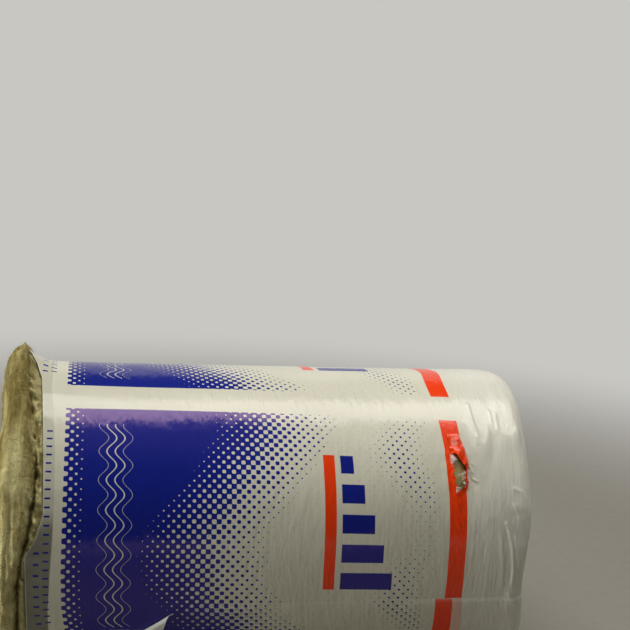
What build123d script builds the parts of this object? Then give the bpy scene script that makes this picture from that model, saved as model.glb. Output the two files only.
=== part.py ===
from build123d import *

import math
import os

# Wrapped roll of mineral wool, lying on its side.
#
# Two physical pieces: the wound mat of wool, and the plastic film that is wound round it.
# The roll's axis lies along X. The loose end, where the wool swells out past the edge of the
# film, is at -X. The lapped end, where the film is folded over the rim, is at +X. The front of
# the roll is at -Y, and angles round the roll are measured from there, upwards. Z is up, and
# the origin is on the floor under the middle of the roll. Millimetres and degrees.

# The wool
roll_diameter = 384.0  # over the film, without the last lap
mat_width = 600.0  # from the lapped face to the crease at the loose end
eye_diameter = 38.0  # hole that the winding mandrel leaves in the middle
turn_pitch = 24.0  # thickness of one turn of the mat, compressed
turn_gap_width = 3.0  # open joint between two turns, seen on both ends
turn_gap_depth = 9.0
bare_rim = 14.0  # outer turn between the edge of the film and the crease
rim_bevel = 4.0
crease_width = 6.0  # furrow round the loose end, between the outer turn and the swollen end
crease_depth = 10.0

# The swollen loose end
swell_length = 28.0  # from the crease to the rim of the end face
swell_rise = 16.0  # how far its top stands above the film; its foot is level with the film
swell_rim_radius = 22.0
rim_bands = 4  # flat bands that the rim of either end is made of
swell_crown = 7.0  # how far the middle of the end face stands out past its rim

# The film
lap_thickness = 0.5  # one lap of film with the air under it
base_laps = 2
film_clearance = 0.2  # between wool and film
shoulder_radius = 28.0  # outside radius where the film turns over the lapped end
collar_width = 42.0  # flat ring of film on the lapped face
tail_edge_angle = -14.0  # free edge of the last lap
tail_root_angle = -83.0  # where the last lap is down to nothing on the lap below it
tail_fold_length = 170.0  # part of the free edge that is folded away with the loose corner
tail_fold_girth = 100.0  # how far down the side the folded corner reaches
foot_lap_width = 14.0  # how far the lap under the others runs out over the bare rim
foot_lap_angle = 8.0  # where that lap comes out from under the others
foot_lap_sweep = 180.0
tear_length = 62.0  # along the girth
tear_width = 13.0
tear_angle = 35.0  # middle of the tear
tear_from_face = 92.0  # from the lapped face to the middle of the tear

# Worked out from the sizes above
film_thickness = lap_thickness * base_laps
film_radius = roll_diameter / 2
film_inner_radius = film_radius - film_thickness
wool_radius = film_inner_radius - film_clearance
axis_height = film_radius
swell_radius = (roll_diameter + swell_rise) / 2
swell_axis_height = swell_radius
collar_radius = film_radius - shoulder_radius - collar_width
total_length = (
    film_thickness + film_clearance + mat_width + crease_width + swell_length + swell_crown
)
collar_x = total_length / 2
shoulder_x = collar_x - shoulder_radius
wool_face_x = collar_x - film_thickness - film_clearance
crease_x = wool_face_x - mat_width
film_edge_x = crease_x + bare_rim
swell_back_x = crease_x - crease_width
swell_face_x = swell_back_x - swell_length


def turned(outline, height, start=0.0, sweep=360.0):
    """Turn a closed outline of (x, radius) pieces round the line along X at a height.

    The turn starts at an angle above the front of the roll and sweeps downwards.
    """
    line = Axis((0, 0, height), (1, 0, 0))
    face = Plane.XZ * Pos(0, height, 0) * make_face(outline)
    return revolve(face.rotate(line, 90 - start), axis=line, revolution_arc=sweep)


def across(x, height):
    """The plane square to the roll's axis at x, with its own x towards the front of the roll."""
    return Plane(origin=(x, 0, height), x_dir=(0, -1, 0), z_dir=(-1, 0, 0))


def rim(centre_x, centre_radius, reach):
    """Points (x, radius) of a rim in flat bands, from the side of the roll to an end face.

    The reach is the rim's radius, and is negative where the end face is at -X.
    """
    points = []
    for band in range(rim_bands + 1):
        angle = math.radians(90 * band / rim_bands)
        points.append(
            (
                centre_x + reach * math.sin(angle),
                centre_radius + abs(reach) * math.cos(angle),
            )
        )
    return points


def shoulder(radius):
    """The rim of the lapped end at a corner radius."""
    return rim(shoulder_x, film_radius - shoulder_radius, radius)


def wool_under_film():
    """The outer turns that the film holds, folded in under its shoulder, bevelled at the crease."""
    corner = shoulder_radius - film_thickness - film_clearance
    root_x = (swell_back_x + swell_face_x) / 2
    root_radius = wool_radius - crease_depth
    outline = Polyline(
        (root_x, 0),
        (root_x, root_radius),
        (crease_x, root_radius),
        (crease_x, wool_radius - rim_bevel),
        (crease_x + rim_bevel, wool_radius),
        *shoulder(corner),
        (wool_face_x, 0),
        close=True,
    )
    return turned(outline, axis_height)


def swollen_end():
    """The loose end, round and crowned, turned round its own higher centre line."""
    flat = swell_radius - swell_rim_radius
    crown_radius = (flat**2 + swell_crown**2) / (2 * swell_crown)
    crown_x = swell_face_x - swell_crown
    rim_x = swell_face_x + swell_rim_radius
    outline = [
        RadiusArc((swell_face_x, flat), (crown_x, 0), -crown_radius),
        Polyline(
            (crown_x, 0),
            (swell_back_x, 0),
            (swell_back_x, swell_radius - rim_bevel),
            (swell_back_x - rim_bevel, swell_radius),
            *rim(rim_x, flat, -swell_rim_radius),
        ),
    ]
    return turned(outline, swell_axis_height)


def turn_gap(x, depth, last_radius):
    """The open joint between the turns, a spiral band of half circles, cut from x inwards."""
    first_radius = (eye_diameter + turn_pitch) / 2
    half_pitch = turn_pitch / 2
    half_turns = int((last_radius - first_radius) / half_pitch)
    edges = []
    for side in (-1, 1):
        for turn in range(half_turns):
            radius = first_radius + turn * half_pitch + side * turn_gap_width / 2
            odd = turn % 2
            edges.append(CenterArc((odd * half_pitch, 0), radius, 180 * odd, 180))
    inner_first, inner_last = edges[0], edges[half_turns - 1]
    outer_first, outer_last = edges[half_turns], edges[-1]
    edges.append(Line(inner_first @ 0, outer_first @ 0))
    edges.append(Line(inner_last @ 1, outer_last @ 1))
    return extrude(across(x, axis_height) * make_face(edges), -depth)


def make_wool():
    """The wound mat: body, swollen end, the eye right through and the spiral on both ends."""
    wool = wool_under_film() + swollen_end()
    eye = extrude(across(total_length, axis_height) * Circle(eye_diameter / 2), 2 * total_length)
    wool -= eye
    wool -= turn_gap(wool_face_x - turn_gap_depth, turn_gap_depth, collar_radius)
    flat_radius = swell_radius - swell_rim_radius - swell_rise / 2
    wool -= turn_gap(
        swell_face_x - 2 * swell_crown, 2 * swell_crown + turn_gap_depth, flat_radius
    )
    return wool


def film_shell():
    """The laps of film as one turned skin: side, shoulder and the collar on the lapped face."""
    inner = shoulder(shoulder_radius - film_thickness)
    outline = Polyline(
        (film_edge_x, film_inner_radius),
        (film_edge_x, film_radius),
        *shoulder(shoulder_radius),
        (collar_x, collar_radius),
        (collar_x - film_thickness, collar_radius),
        *reversed(inner),
        close=True,
    )
    return turned(outline, axis_height)


def foot_lap():
    """The lap that runs out over the bare rim, from the front down under the roll."""
    edge = film_edge_x - foot_lap_width
    middle = (film_edge_x + shoulder_x) / 2
    outer_radius = film_inner_radius + lap_thickness
    outline = Polyline(
        (edge, film_inner_radius),
        (edge, outer_radius),
        (middle, outer_radius),
        (middle, film_inner_radius),
        close=True,
    )
    return turned(outline, axis_height, foot_lap_angle, foot_lap_sweep)


def tail_lap():
    """The last lap: a crescent, thickest at its free edge, which thins out to its root.

    It is the side of the roll, moved by a lap's thickness. Its loose corner at the end of the
    film is folded away along a slanting line.
    """
    direction = math.radians(tail_root_angle + 90)
    shift = lap_thickness / math.cos(math.radians(tail_edge_angle) - direction)
    side = 2 * roll_diameter
    moved = Pos(shift * math.cos(direction), shift * math.sin(direction))
    section = moved * Circle(film_radius) - Circle(film_inner_radius)
    section &= Rot(0, 0, tail_edge_angle) * Pos(0, -side / 2) * Rectangle(side, side)
    section &= Rot(0, 0, tail_root_angle) * Pos(0, side / 2) * Rectangle(side, side)
    lap = extrude(across(shoulder_x, axis_height) * section, shoulder_x - film_edge_x)
    corner = Polyline(
        (film_edge_x, 0),
        (film_edge_x + tail_fold_length, 0),
        (film_edge_x, -tail_fold_girth),
        close=True,
    )
    roll_line = Axis((0, 0, 0), (1, 0, 0))
    wedge = extrude(Plane.XZ * make_face(corner), roll_diameter)
    return lap - Pos(0, 0, axis_height) * wedge.rotate(roll_line, -tail_edge_angle)


def tear():
    """A lens-shaped slit along the girth, as a prism that stands out from the roll's axis."""
    bow = (tear_length**2 + tear_width**2) / (4 * tear_width)
    offset = bow - tear_width / 2
    lens = (Pos(offset, 0) * Circle(bow)) & (Pos(-offset, 0) * Circle(bow))
    prism = extrude(Plane.XZ * lens, roll_diameter)
    roll_line = Axis((0, 0, 0), (1, 0, 0))
    place = Pos(collar_x - tear_from_face, 0, axis_height)
    return place * prism.rotate(roll_line, -tear_angle)


def make_film():
    """The film, with its free last lap, its lap at the foot and the tear in its side."""
    return film_shell() + foot_lap() + tail_lap() - tear()


if __name__ == "__main__":
    os.makedirs("parts", exist_ok=True)
    export_step(make_wool(), "parts/wool_roll.step")
    export_step(make_film(), "parts/film_wrap.step")
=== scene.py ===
"""A wrapped roll of mineral wool that lies on its side, dressed for the camera.

The wool is wound round an eye and has swollen out of its wrapper at the loose end (-X). The
printed film is wound round it in laps, folded over the lapped end (+X), torn beside its red
stripe, and its last lap ends in a free edge along the front (-Y) with one corner folded back.
Angles round the roll are in degrees from the front, upwards. Lengths are in metres.
"""

from __future__ import annotations

import enum
import logging
import math
from dataclasses import dataclass
from typing import Any

import bpy
import numpy as np
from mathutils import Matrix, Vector

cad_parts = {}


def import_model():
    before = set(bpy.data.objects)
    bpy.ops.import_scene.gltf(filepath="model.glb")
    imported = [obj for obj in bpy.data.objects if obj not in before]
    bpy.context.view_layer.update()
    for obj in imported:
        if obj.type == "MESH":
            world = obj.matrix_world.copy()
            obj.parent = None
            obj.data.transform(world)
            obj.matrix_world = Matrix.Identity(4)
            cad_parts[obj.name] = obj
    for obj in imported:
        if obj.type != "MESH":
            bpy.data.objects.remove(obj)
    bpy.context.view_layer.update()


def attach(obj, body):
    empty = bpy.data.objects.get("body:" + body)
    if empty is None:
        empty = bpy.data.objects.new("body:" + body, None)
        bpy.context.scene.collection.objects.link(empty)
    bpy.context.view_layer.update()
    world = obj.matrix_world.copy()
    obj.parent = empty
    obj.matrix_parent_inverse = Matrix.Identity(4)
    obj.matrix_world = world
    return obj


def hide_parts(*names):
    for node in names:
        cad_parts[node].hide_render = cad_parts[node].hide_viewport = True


LOG = logging.getLogger("insulation_roll")
TOP = 90.0
FOOT = -90.0
FULL_TURN = 360.0
TINY = 1e-12
MM = 0.001
MM_PER_DEGREE = 3.351  # round the girth of the film
METRES_PER_DEGREE = MM_PER_DEGREE * MM

Array = np.ndarray
Colour = tuple[float, float, float]
Place = tuple[float, float, float]
Pair = tuple[float, float]
Line = list[Pair]


# Shapes from numbers


def smooth(low: float, high: float, value: Array) -> Array:
    """Return 0 below low, 1 above high, and 3t^2 - 2t^3 between them."""
    t = np.clip((value - low) / (high - low), 0.0, 1.0)
    return t * t * (3.0 - 2.0 * t)


def bump_at(value: Array, centre: float, width: float) -> Array:
    """Return a bell, e to the minus ((value - centre) / width) squared."""
    return np.exp(-(((value - centre) / width) ** 2))


def angle_gap(first: Array, second: float) -> Array:
    """Return the signed difference of two angles, from -180 to 180 degrees."""
    return (first - second + FULL_TURN / 2.0) % FULL_TURN - FULL_TURN / 2.0


def round_table(angle: Array, stops: dict[float, float]) -> Array:
    """Interpolate a length given at some angles, once round the roll.

    Args:
        angle: where the length is wanted, in degrees.
        stops: the length at each given angle, in millimetres.

    Returns:
        The length by straight lines between the stops, which repeats every full turn.
    """
    return MM * np.interp(angle, list(stops), list(stops.values()), period=FULL_TURN)


class LatticeNoise:
    """Value noise: random numbers on a whole-number lattice, blended smoothly between."""

    SIZE = 256
    LAYER_SHIFT = 17.0

    def __init__(self, seed: int) -> None:
        """Shuffle the lattice's hash and values from a seed."""
        source = np.random.default_rng(seed)
        self.order = source.permutation(self.SIZE)
        self.value = source.uniform(-1.0, 1.0, self.SIZE)

    def _corner(self, x: Array, y: Array, z: Array) -> Array:
        """Return the lattice's value at whole-number corners."""
        mask = self.SIZE - 1
        row = self.order[(x & mask)]
        column = self.order[(row + y) & mask]
        return self.value[self.order[(column + z) & mask]]

    def at(self, x: Array, y: Array, z: Array) -> Array:
        """Return the noise, about -1 to 1: the eight corners round a point, blended."""
        whole = [np.floor(part).astype(np.int64) for part in (x, y, z)]
        part = [a - b for a, b in zip((x, y, z), whole)]
        blend = [p * p * (3.0 - 2.0 * p) for p in part]
        total = 0.0
        for corner in range(8):
            step = [(corner >> axis) & 1 for axis in range(3)]
            weight = 1.0
            for axis in range(3):
                weight = weight * (blend[axis] if step[axis] else 1.0 - blend[axis])
            total = total + weight * self._corner(*[w + s for w, s in zip(whole, step)])
        return total

    def layers(self, x: Array, y: Array, z: Array, count: int) -> Array:
        """Return the sum of layers of noise, each twice as fine and half as strong."""
        total = 0.0
        for layer in range(count):
            scale = 2.0**layer
            shift = self.LAYER_SHIFT * layer
            total = total + self.at(x * scale, y * scale, z * scale + shift) / scale
        return total


class RoundNoise:
    """Noise on the side of the roll, the same where the girth closes."""

    def __init__(self, seed: int, radius: float) -> None:
        """Keep a noise and the radius of the girth that it goes round."""
        self.noise = LatticeNoise(seed)
        self.radius = radius

    def at(self, along: Array, angle: Array, length: float, girth: float, layers: int = 1) -> Array:
        """Return noise of a given grain.

        Args:
            along: distance along the roll.
            angle: angle round it, in degrees.
            length: size of the grain along the roll.
            girth: size of the grain round the roll.
            layers: how many finer layers are added.

        Returns:
            The noise at (along / length, r cos(angle) / girth, r sin(angle) / girth).
        """
        turn = np.radians(angle)
        y = self.radius * np.cos(turn) / girth + 0.0 * along
        z = self.radius * np.sin(turn) / girth + 0.0 * along
        return self.noise.layers(along / length + 0.0 * angle, y, z, layers)


def divided(stops: Line) -> Array:
    """Return the values from stop to stop, each stop a value and the step from there on."""
    parts = [np.arange(low, high, step) for (low, step), (high, _) in zip(stops[:-1], stops[1:])]
    return np.concatenate(parts)


def run_along(line: Array) -> Array:
    """Return the distance along a line of points to each of them."""
    return np.concatenate([[0.0], np.cumsum(np.hypot(*np.diff(line, axis=0).T))])


def smooth_line(points: Line, spacing: float, samples: int = 24) -> Array:
    """Return a smooth line through points, evenly divided.

    Args:
        points: the (x, radius) points that it goes through.
        spacing: distance between the points that are returned.
        samples: how densely each cubic is sampled first.

    Returns:
        An array of (x, radius) rows: Catmull-Rom cubics through the points, sampled densely
        and then divided evenly by length.
    """
    knots = np.array([points[0], *points, points[-1]], float)
    step = np.linspace(0.0, 1.0, samples, endpoint=False)[:, None]
    before, start, end, after = (knots[i : len(knots) - 3 + i][:, None, :] for i in range(4))
    curve = 0.5 * (
        2.0 * start
        + (end - before) * step
        + (2.0 * before - 5.0 * start + 4.0 * end - after) * step**2
        + (3.0 * start - before - 3.0 * end + after) * step**3
    )
    dense = np.vstack([curve.reshape(-1, 2), knots[-1]])
    run = run_along(dense)
    count = max(2, int(round(run[-1] / spacing)) + 1)
    at = np.linspace(0.0, run[-1], count)
    return np.column_stack([np.interp(at, run, dense[:, 0]), np.interp(at, run, dense[:, 1])])


def grid_faces(rows: int, columns: int, closed: bool) -> Array:
    """Return the quads of a grid of points, numbered row by row.

    Args:
        rows: number of rows.
        columns: number of points in a row.
        closed: whether the last row joins the first.

    Returns:
        An array of four point numbers a face.
    """
    row = np.arange(rows if closed else rows - 1)[:, None]
    column = np.arange(columns - 1)[None, :]
    after = (row + 1) % rows
    corners = [
        row * columns + column,
        row * columns + column + 1,
        after * columns + column + 1,
        after * columns + column,
    ]
    return np.stack(corners, axis=-1).reshape(-1, 4)


@dataclass
class Surface:
    """Points and faces of a piece, with what its material reads on them."""

    points: Array
    faces: Array
    chart: Array
    masks: dict[str, Array]

    def make(self, name: str, material: bpy.types.Material) -> bpy.types.Object:
        """Put the surface into a mesh.

        Args:
            name: the piece's name.
            material: its material.

        Returns:
            The new object, smooth, with its chart as UV map and its masks as attributes.
        """
        mesh = bpy.data.meshes.new(name)
        corners = self.faces.shape[1]
        mesh.vertices.add(len(self.points))
        mesh.vertices.foreach_set("co", self.points.astype(np.float32).ravel())
        mesh.loops.add(self.faces.size)
        mesh.loops.foreach_set("vertex_index", self.faces.astype(np.int32).ravel())
        mesh.polygons.add(len(self.faces))
        starts = np.arange(len(self.faces), dtype=np.int32) * corners
        mesh.polygons.foreach_set("loop_start", starts)
        mesh.polygons.foreach_set("use_smooth", np.ones(len(self.faces), bool))
        mesh.update(calc_edges=True)
        layer = mesh.uv_layers.new(name="chart")
        layer.data.foreach_set("uv", self.chart[self.faces.ravel()].astype(np.float32).ravel())
        for key, values in self.masks.items():
            attribute = mesh.attributes.new(key, "FLOAT", "POINT")
            attribute.data.foreach_set("value", values.astype(np.float32))
        mesh.validate()
        mesh.materials.append(material)
        piece = bpy.data.objects.new(name, mesh)
        bpy.context.scene.collection.objects.link(piece)
        return piece

    def normals(self) -> Array:
        """Return a unit normal at each point, the sum of its faces' normals."""
        a, b, c, d = (self.points[self.faces[:, i]] for i in range(4))
        face = np.cross(c - a, d - b)
        total = np.zeros_like(self.points)
        for corner in range(4):
            np.add.at(total, self.faces[:, corner], face)
        return total / np.maximum(np.linalg.norm(total, axis=1, keepdims=True), TINY)


# Materials from numbers


class Signal:
    """An output socket whose Python arithmetic adds Math nodes to its tree."""

    def __init__(self, shader: "Shader", socket: bpy.types.NodeSocket) -> None:
        """Keep the shader and the socket."""
        self.shader = shader
        self.socket = socket

    def math(self, operation: str, *others: "Signal | float") -> "Signal":
        """Return the Math node of an operation on this signal and others."""
        return self.shader.math(operation, self, *others)

    def __add__(self, other: "Signal | float") -> "Signal":
        """Return the sum."""
        return self.math("ADD", other)

    __radd__ = __add__

    def __sub__(self, other: "Signal | float") -> "Signal":
        """Return the difference."""
        return self.math("SUBTRACT", other)

    def __rsub__(self, other: float) -> "Signal":
        """Return a number minus this signal."""
        return self.shader.math("SUBTRACT", other, self)

    def __mul__(self, other: "Signal | float") -> "Signal":
        """Return the product."""
        return self.math("MULTIPLY", other)

    def __truediv__(self, other: "Signal | float") -> "Signal":
        """Return the quotient."""
        return self.math("DIVIDE", other)

    def size(self) -> "Signal":
        """Return the absolute value."""
        return self.math("ABSOLUTE")

    def ramp(self, low: float, high: float) -> "Signal":
        """Return 0 below low and 1 above high, smooth between; low may be the larger."""
        if low > high:
            return 1.0 - self.ramp(high, low)
        settings = {"interpolation_type": "SMOOTHSTEP", "clamp": True}
        inputs = {"Value": self, "From Min": low, "From Max": high}
        return self.shader.node("ShaderNodeMapRange", settings, inputs)

    def within(self, low: float, high: float, edge: float) -> "Signal":
        """Return 1 from low to high and 0 outside, with soft edges of a given width."""
        return self.ramp(low - edge, low + edge) * self.ramp(high + edge, high - edge)

    def wave(self, length: float, phase: float = 0.0) -> "Signal":
        """Return the cosine wave of a given length, moved by a phase in radians."""
        turn = self * (2.0 * math.pi / length)
        return (turn + phase if phase else turn).math("COSINE")


class Shader:
    """The node tree of one material."""

    MIX_FACTOR, MIX_FIRST, MIX_SECOND, MIX_RESULT = 0, 6, 7, 2

    def __init__(self, name: str) -> None:
        """Start an empty tree."""
        self.material = bpy.data.materials.new(name)
        self.material.use_nodes = True
        self.tree = self.material.node_tree
        self.tree.nodes.clear()

    def node(
        self,
        kind: str,
        settings: dict[str, Any] | None = None,
        inputs: dict[str | int, Any] | None = None,
        output: str | int = 0,
    ) -> Signal:
        """Add a node.

        Args:
            kind: the node's type.
            settings: its properties, set first; stops are a colour ramp's.
            inputs: values or signals of its sockets.
            output: which of its outputs is wanted.

        Returns:
            The wanted output.
        """
        node = self.tree.nodes.new(kind)
        for key, value in (settings or {}).items():
            if key == "stops":
                self._set_stops(node.color_ramp, value)
            else:
                setattr(node, key, value)
        for key, value in (inputs or {}).items():
            socket = node.inputs[key]
            if isinstance(value, Signal):
                self.tree.links.new(value.socket, socket)
            elif isinstance(value, tuple) and len(value) == 3 and socket.type == "RGBA":
                socket.default_value = (*value, 1.0)
            else:
                socket.default_value = value
        return Signal(self, node.outputs[output])

    @staticmethod
    def _set_stops(ramp: bpy.types.ColorRamp, stops: list[tuple[float, Colour]]) -> None:
        """Give a colour ramp its stops."""
        while len(ramp.elements) < len(stops):
            ramp.elements.new(0.5)
        for element, (position, colour) in zip(ramp.elements, stops):
            element.position = position
            element.color = (*colour, 1.0)

    def math(self, operation: str, *values: Signal | float) -> Signal:
        """Add a Math node on up to three values."""
        return self.node("ShaderNodeMath", {"operation": operation}, dict(enumerate(values)))

    def mix(self, factor: Signal | float, first: Any, second: Any, blend: str = "MIX") -> Signal:
        """Blend two colours by a factor."""
        settings = {"data_type": "RGBA", "blend_type": blend}
        inputs = {self.MIX_FACTOR: factor, self.MIX_FIRST: first, self.MIX_SECOND: second}
        return self.node("ShaderNodeMix", settings, inputs, self.MIX_RESULT)

    def chart(self) -> tuple[Signal, Signal]:
        """Return the piece's own UV map as two numbers."""
        place = self.node("ShaderNodeUVMap", {"uv_map": "chart"})
        return self.part(place, "X"), self.part(place, "Y")

    def part(self, vector: Signal, axis: str) -> Signal:
        """Return one of the three numbers of a vector."""
        return self.node("ShaderNodeSeparateXYZ", inputs={"Vector": vector}, output=axis)

    def mask(self, name: str) -> Signal:
        """Return one of the piece's own masks."""
        return self.node("ShaderNodeAttribute", {"attribute_name": name}, output="Fac")

    def grain(self, place: Signal, scale: float, detail: float, roughness: float = 0.5) -> Signal:
        """Return noise, 0 to 1, at a place."""
        inputs = {"Vector": place, "Scale": scale, "Detail": detail, "Roughness": roughness}
        return self.node("ShaderNodeTexNoise", {"noise_dimensions": "3D"}, inputs)

    def place(self, x: Signal | float, y: Signal | float, z: Signal | float = 0.0) -> Signal:
        """Join three numbers into a place."""
        return self.node("ShaderNodeCombineXYZ", inputs={0: x, 1: y, 2: z})

    def body(self) -> Signal:
        """Return the Object coordinates."""
        return self.node("ShaderNodeTexCoord", output="Object")

    def relief(self, height: Signal, strength: float, depth: float) -> Signal:
        """Return a bumped normal for a height."""
        inputs = {"Height": height, "Strength": strength, "Distance": depth}
        return self.node("ShaderNodeBump", inputs=inputs)

    def finish(
        self, inputs: dict[str, Any], shine: tuple[Signal, Signal] | None = None
    ) -> bpy.types.Material:
        """Close the tree and return the material.

        Args:
            inputs: values or signals of the Principled shader's sockets.
            shine: how much of another surface shows in its place, and that surface.
        """
        surface = self.node("ShaderNodeBsdfPrincipled", inputs=inputs)
        if shine is not None:
            share, glow = shine
            surface = self.node("ShaderNodeMixShader", inputs={0: share, 1: surface, 2: glow})
        output = self.tree.nodes.new("ShaderNodeOutputMaterial")
        self.tree.links.new(surface.socket, output.inputs["Surface"])
        return self.material


def tint(red: int, green: int, blue: int) -> Colour:
    """Return a colour of 0 to 255 a channel, as seen on a screen, in linear light."""

    def linear(level: int) -> float:
        part = level / 255.0
        return part / 12.92 if part <= 0.04045 else ((part + 0.055) / 1.055) ** 2.4

    return (linear(red), linear(green), linear(blue))


class Lap(enum.Enum):
    """Which lap of the film a piece is, and the shift of its print along the roll in millimetres."""

    SIDE = 0.0
    TAIL = 12.0


@dataclass(frozen=True)
class PrintPlan:
    """The film's print, in millimetres along the roll and degrees round it.

    A panel repeats round the girth, with bare film between. Its halftone fades out along a
    wave and comes back as a thin spray before the stripe.
    """

    panel_top: float = 57.78
    skew: float = 0.00964
    bow: float = 0.00001
    repeat: float = 100.7
    panel: float = 88.0
    panel_left: float = -244.3
    panel_right: float = 202.0
    right_fade: float = 8.0
    serration: float = 25.0
    serration_power: float = 0.45
    serration_tone: float = 0.35
    dot_pitch: float = 11.6
    dot_edge: float = 0.03
    fade_middle: float = -40.0
    fade_swing: float = 44.0
    fade_phase: float = -0.25
    fade_length: float = 150.0
    fade_uneven: float = 0.35
    uneven_grain: float = 0.02
    spray_line: float = 172.0
    spray_ripple: float = 20.0
    spray_phase: float = 1.3
    spray_width: float = 22.0
    spray_tone: float = 0.18
    spray_uneven: float = 0.05
    burst_start: float = 18.0
    burst_length: float = 55.0
    burst_share: float = 0.45
    stripe: Pair = (212.6, 234.4)
    wave_line: float = -186.0
    wave_swing: float = 5.5
    wave_length: float = 34.0
    wave_gap: float = 9.5
    wave_share: Pair = (0.10, 0.05)
    wave_angles: Pair = (7.0, 82.0)
    base_bar: Pair = (58.0, 72.0)
    base_bar_angles: Pair = (17.0, 66.0)
    step_angles: tuple[float, ...] = (20.4, 30.95, 41.5, 52.05, 62.6)
    step_half_angles: Pair = (3.4, 3.25)
    step_foot: float = 79.0
    step_heights: tuple[float, ...] = (16.0, 28.0, 40.0, 52.0, 64.0)
    tick_lines: tuple[tuple[float, ...], ...] = (
        (-264.0, -257.5, 10.0, 9.0, 80.0), (-274.0, -268.0, 13.0, 52.0, 80.0)
    )
    tick_share: Pair = (0.13, 0.09)
    thin_edge: float = 0.3
    bar_edge: float = 0.4
    round_edge: float = 0.12
    cut_edge: float = 0.1


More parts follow.
